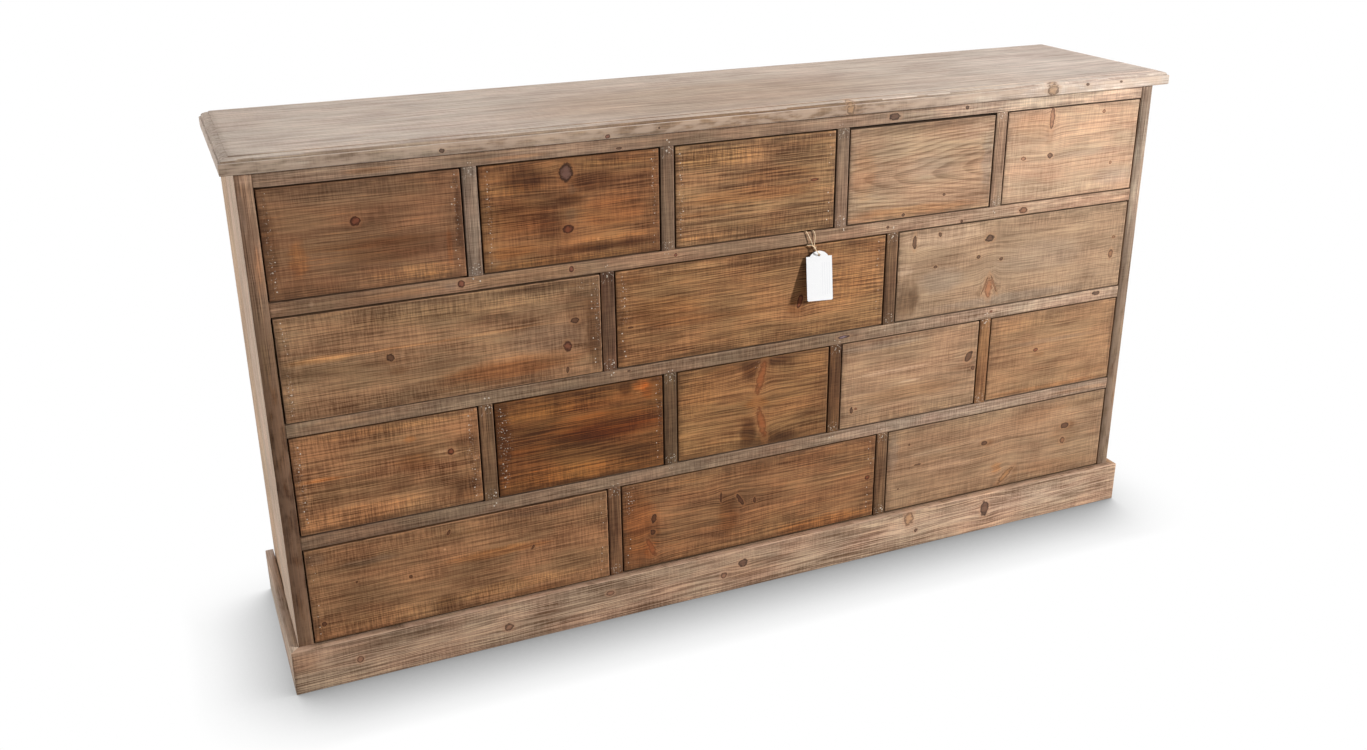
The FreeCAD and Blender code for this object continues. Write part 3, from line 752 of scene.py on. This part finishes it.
def build_drawers():
    box_pine = [pine("drawer_box_pine", BOX_LOOK)]
    for number, look in FRONT_LOOKS.items():
        body = "drawer_%02d" % number
        # painted shade on the front's sides inside the drawer gaps
        look.gap = 0.75
        single("drawer_front_%02d" % number, body, X, -Y, look, 3.0 + 0.37 * number, step=12.0)
        node = "drawer_box_%02d" % number
        centre = sum(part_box(node), Vector()) / 2
        several(node, body, box_pine,
                lambda low, high: lay(low, high, (Vector(low) + Vector(high)) / 2 - centre),
                5.0 + 0.41 * number, 0.09)


# ---- Nails -------------------------------------

NAILED = (1, 2, 3, 6, 7, 9, 10, 14, 15)  # drawers whose fronts show their nails
NAIL_RISES = (0.93, 0.84, 0.75, 0.67, 0.37, 0.27, 0.18, 0.1)  # shares of a front's height
NAIL_SINK = 0.12 * MM  # of a nail's rim behind the board's face


def jitter(*place):
    """A repeatable offset from -1 to 1 for that place."""
    return max(-1.0, min(1.0, 2.2 * noise.noise(Vector(place) * 7.31 + Vector((0.37, 0.61, 0.83)))))


def filler():
    """Pale stopping over a nail head, chalky and a little dirty."""
    material = bpy.data.materials.new("nail_stopping")
    tree = Tree(material)
    tone = srgb(214, 200, 182)
    dirt = tree.noise(tree.value("TexCoord", "Object") * (700.0, 700.0, 700.0), 3.0)
    tree.surface(tree.mix(dirt.fade(0.35, 0.65), tinted(tone, 0.55), tone), dirt * 0.2 + 0.6)
    return material


def nails(name, body, spots, material, sides=8):
    """Small uneven domes of stopping, at points on surfaces that face -Y."""
    mesh = bmesh.new()
    for spot in spots:
        size = (1.15 + 0.45 * jitter(spot.x, spot.z, 1.0)) * MM
        rings = []
        for share, rise in ((1.0, 0.0), (0.7, 0.16 * MM)):
            ring = []
            for i in range(sides):
                angle = 2 * pi * i / sides
                reach = size * share * (1 + 0.22 * jitter(spot.x + i, spot.z, 2.0))
                ring.append(mesh.verts.new(spot + X * reach * cos(angle) + Z * reach * sin(angle) - Y * rise))
            rings.append(ring)
        add_bands(mesh, rings)
        mesh.faces.new(rings[1])
        mesh.faces.new(rings[0][::-1])
    finished(mesh, name, body, [material])


def build_nails():
    stopping = filler()
    for number in NAILED:
        low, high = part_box("drawer_front_%02d" % number)
        spots = []
        for end, inward in ((low.x, 1), (high.x, -1)):
            for rise in NAIL_RISES:
                x = end + inward * (0.0125 + 0.0035 * jitter(end, rise, number))
                z = low.z + (high.z - low.z) * (rise + 0.03 * jitter(rise, end, number * 0.3))
                spots.append(Vector((x, low.y + NAIL_SINK, z)))
        nails("drawer_nails_%02d" % number, "drawer_%02d" % number, spots, stopping)
    spots = []
    for row in DIVIDER_TONES:
        for low, high in solids("dividers_row_%d" % row):
            for z in (low[2] - 0.008, low[2] + 0.012, high[2] - 0.01, high[2] + 0.008):
                for i in range(2):
                    x = (low[0] + high[0]) / 2 + 0.008 * jitter(low[0], z, i)
                    if row < 4 or z > low[2]:
                        spots.append(Vector((x, low[1] + NAIL_SINK, z + 0.004 * jitter(z, low[0], i + 0.5))))
    nails("case_nails", "carcass", spots, stopping)


# ---- Tag and twine -----------------------------

TWINE_DIAMETER = 1.6 * MM
# X, the distance in front of the rails and the drop below the gap that holds both ends, in mm.
TWINE_ROUTE = ((98.0, -7.5, 0.0), (98.2, -3.0, 0.0), (98.9, 1.9, -0.4), (101.2, 2.5, 4.5),
               (104.8, 3.2, 11.5), (108.6, 3.7, 19.0), (110.8, 4.4, 26.0), (114.6, 5.6, 32.0),
               (119.8, 7.9, 39.2), (124.5, 8.2, 46.4), (124.9, 2.9, 46.7), (121.8, 1.9, 40.6),
               (117.2, 2.4, 33.0), (115.2, 2.6, 24.0), (116.6, 2.7, 14.0), (116.0, 2.5, 5.6),
               (113.2, 1.9, -0.4), (112.5, -3.0, 0.0), (112.7, -7.5, 0.0))
TWINE_TAIL = ((115.4, 5.4, 32.0), (112.0, 6.4, 28.5), (108.2, 6.2, 25.0), (103.6, 5.4, 25.6),
              (99.4, 4.6, 25.0))
KNOT_PLACE = (116.0, 4.2, 32.6)
TAG_HOLE_PLACE = (124.5, 5.0, 46.2)
TAG_ANGLES = (-6.8, -11.0, 1.0)  # degrees about Z, X and Y


def hung(place):
    """A point of the route in the frame."""
    x, stand_off, drop = place
    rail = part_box("front_rail_1")
    gap = (rail[1].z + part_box("drawer_front_03")[0].z) / 2
    return Vector((x * MM, rail[0].y - stand_off * MM, gap - drop * MM))


def smooth_line(places):
    """Points along the NURBS line that has these control points."""
    curve = bpy.data.curves.new("line", "CURVE")
    curve.dimensions = "3D"
    curve.resolution_u = 10
    spline = curve.splines.new("NURBS")
    spline.points.add(len(places) - 1)
    for control, place in zip(spline.points, places):
        control.co = (*hung(place), 1.0)
    spline.order_u = 3
    spline.use_endpoint_u = True
    holder = bpy.data.objects.new("line", curve)
    mesh = bpy.data.meshes.new_from_object(holder)
    line = [vert.co.copy() for vert in mesh.vertices]
    bpy.data.objects.remove(holder)
    bpy.data.meshes.remove(mesh)
    return line


def walk(line):
    """Each point of a line, how far along it lies, and two directions across the line that don't twist."""
    side = (line[1] - line[0]).orthogonal().normalized()
    walked = 0.0
    for before, point, after in zip(line[:1] + line, line, line[1:] + line[-1:]):
        ahead = (after - before).normalized()
        side = (side - ahead * side.dot(ahead)).normalized()
        walked += (point - before).length
        yield point, walked, side, ahead.cross(side)


def add_strand(mesh, line, radius, sides=6):
    """A closed tube along a line of points."""
    turns = [2 * pi * k / sides for k in range(sides)]
    rings = [[mesh.verts.new(point + (side * cos(turn) + other * sin(turn)) * radius) for turn in turns]
             for point, _, side, other in walk(line)]
    add_bands(mesh, rings)
    mesh.faces.new(rings[0][::-1])
    mesh.faces.new(rings[-1])


def add_twisted(mesh, line, diameter, plies=3, pitch=4.5 * MM):
    """Plies laid round a line, as jute is spun."""
    ply = 0.32 * diameter
    offset = 0.53 * diameter - ply
    for k in range(plies):
        track = []
        for point, walked, side, other in walk(line):
            angle = 2 * pi * (walked / pitch + k / plies)
            track.append(point + (side * cos(angle) + other * sin(angle)) * offset)
        add_strand(mesh, track, ply)


def jute():
    material = bpy.data.materials.new("jute")
    tree = Tree(material)
    hair = tree.noise(tree.value("TexCoord", "Object") * (2600.0, 2600.0, 1500.0), 4.0, 0.7)
    colour = tree.mix(hair.fade(0.3, 0.7), srgb(196, 162, 122), srgb(250, 230, 198))
    tree.surface(colour, hair * 0.15 + 0.75, height=hair, bump=(0.6, 0.0002))
    return material


def card():
    """White card with a faint fibre and faint ruled lines to write on."""
    material = bpy.data.materials.new("tag_card")
    tree = Tree(material)
    turn, lean, roll = (Matrix.Rotation(radians(angle), 3, axis) for angle, axis in zip(TAG_ANGLES, "ZXY"))
    flat = {"Vector": tree.value("TexCoord", "Object"), "Location": hung(TAG_HOLE_PLACE),
            "Rotation": (turn @ lean @ roll).to_euler()}
    place = tree.value("Mapping", 0, flat, vector_type="TEXTURE") * (1000.0, 1000.0, 1000.0)
    fibre = tree.noise(place * (1.4, 1.4, 1.4), 5.0, 0.65)
    x, _, z = place.parts()
    ruled = tree.math("ABSOLUTE", tree.math("FRACT", (x + 1.0) / 4.5) - 0.5).fade(0.07, 0.03)
    ruled *= x.fade(2.0, 2.1) * x.fade(20.1, 20.0) * z.fade(-74.1, -74.0) * z.fade(-14.0, -14.1)
    paper = tree.mix(fibre.fade(0.3, 0.7), srgb(228, 228, 229), srgb(237, 237, 237))
    colour = tree.mix(ruled * 0.55, paper, srgb(190, 192, 197))
    tree.surface(colour, fibre * 0.12 + 0.5, height=fibre, bump=(0.15, 0.0002))
    return material


def build_tag():
    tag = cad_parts["swing_tag"]
    tag.data.materials.clear()
    tag.data.materials.append(card())
    return tag


def build_twine(tag):
    material = jute()
    line = smooth_line(TWINE_ROUTE)
    mesh = bmesh.new()
    add_twisted(mesh, line, TWINE_DIAMETER)
    loop = finished(mesh, "twine_loop", "drawer_07", [material], 180)
    mesh = bmesh.new()
    turns, steps, height = 2.3, 28, 3.6 * MM  # of the knot's wrap
    wrap = []
    for i in range(steps + 1):
        angle = 2 * pi * turns * i / steps
        along = (i / steps - 0.5) * height
        reach = (1.9 + 0.25 * sin(3 * angle)) * MM
        wrap.append(hung(KNOT_PLACE) + X * (reach * cos(angle) - 0.45 * along) - Z * along
                    + Y * (reach * 0.85 * sin(angle)))
    add_twisted(mesh, wrap, 0.85 * TWINE_DIAMETER, 2)
    add_twisted(mesh, smooth_line(TWINE_TAIL), 0.9 * TWINE_DIAMETER)
    tied = finished(mesh, "twine_knot", "drawer_07", [material], 180)
    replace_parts(loop, "tag_twine")
    hung(TWINE_ROUTE[0])


# ---- Floor, light and camera -------------------

WORLD_LEVEL = 0.07
LAMPS = (  # name, place, what it points at, size and power
    ("key", (4.9, -3.3, 1.9), (0.0, -0.1, 0.5), 0.36, 560.0),
    ("overhead", (0.2, -0.1, 3.2), (0.0, 0.0, 0.9), 1.8, 47.0),
    ("left_fill", (-3.2, 0.3, 1.2), (-0.8, 0.1, 0.5), 1.4, 41.0),
    ("back_fill", (0.0, 4.2, 0.7), (0.0, 0.2, 0.5), 1.0, 130.0),
)


def background_share(tree):
    """1 for a ray that should find the white background: from the camera, off a gloss or through glass."""
    camera, gloss, glass = (tree.value("LightPath", "Is %s Ray" % kind)
                            for kind in ("Camera", "Glossy", "Transmission"))
    return tree.math("MAXIMUM", camera, tree.math("MAXIMUM", gloss, glass))


def build_floor():
    """A white sweep that keeps only the soft shadow where the plinth meets it, in front and at the left."""
    bpy.ops.mesh.primitive_plane_add(size=60.0, location=(0, 0, 0))
    floor = bpy.context.object
    floor.name = "floor"
    material = bpy.data.materials.new("floor")
    tree = Tree(material)
    towards = tree.math("NORMALIZE", (0.3, 0.6, 0.74))
    shade = tree.value("AmbientOcclusion", "AO", {"Distance": 0.17, "Normal": towards}, samples=24)
    glow = tree.add("Emission", {"Strength": 1.0 - tree.math("POWER", 1.0 - shade, 1.2) * 1.1})
    plain = tree.add("BsdfDiffuse", {"Color": (0.5, 0.5, 0.5, 1.0)})
    tree.end(tree.add("MixShader", {0: background_share(tree), 1: plain.outputs[0], 2: glow.outputs[0]}))
    floor.data.materials.append(material)


def build_light():
    world = bpy.data.worlds.new("studio")
    bpy.context.scene.world = world
    tree = Tree(world)
    strength = background_share(tree) * (1.0 - WORLD_LEVEL) + WORLD_LEVEL
    tree.end(tree.add("Background", {"Color": (1.0, 1.0, 1.0, 1.0), "Strength": strength}), "OutputWorld")
    for name, place, target, size, power in LAMPS:
        lamp = bpy.data.lights.new(name, "AREA")
        lamp.shape = "SQUARE"
        lamp.size = size
        lamp.energy = power
        holder = added(name, lamp)
        holder.location = place
        holder.rotation_euler = (Vector(target) - Vector(place)).to_track_quat("-Z", "Y").to_euler()


def build_camera():
    camera = bpy.data.cameras.new("camera")
    camera.lens = 34.411
    camera.sensor_width = 36.0
    camera.shift_x = -0.0127
    camera.shift_y = -0.0191
    camera.clip_end = 200.0
    holder = added("camera", camera)
    holder.location = (-0.9828, -2.1804, 1.3869)
    holder.rotation_euler = [radians(angle) for angle in (68.247, 0.238, -23.577)]
    bpy.context.scene.camera = holder


build_camera()
build_case()
build_inside()
build_drawers()
build_nails()
build_twine(build_tag())
build_floor()
build_light()
bpy.context.scene.view_settings.view_transform = "Standard"
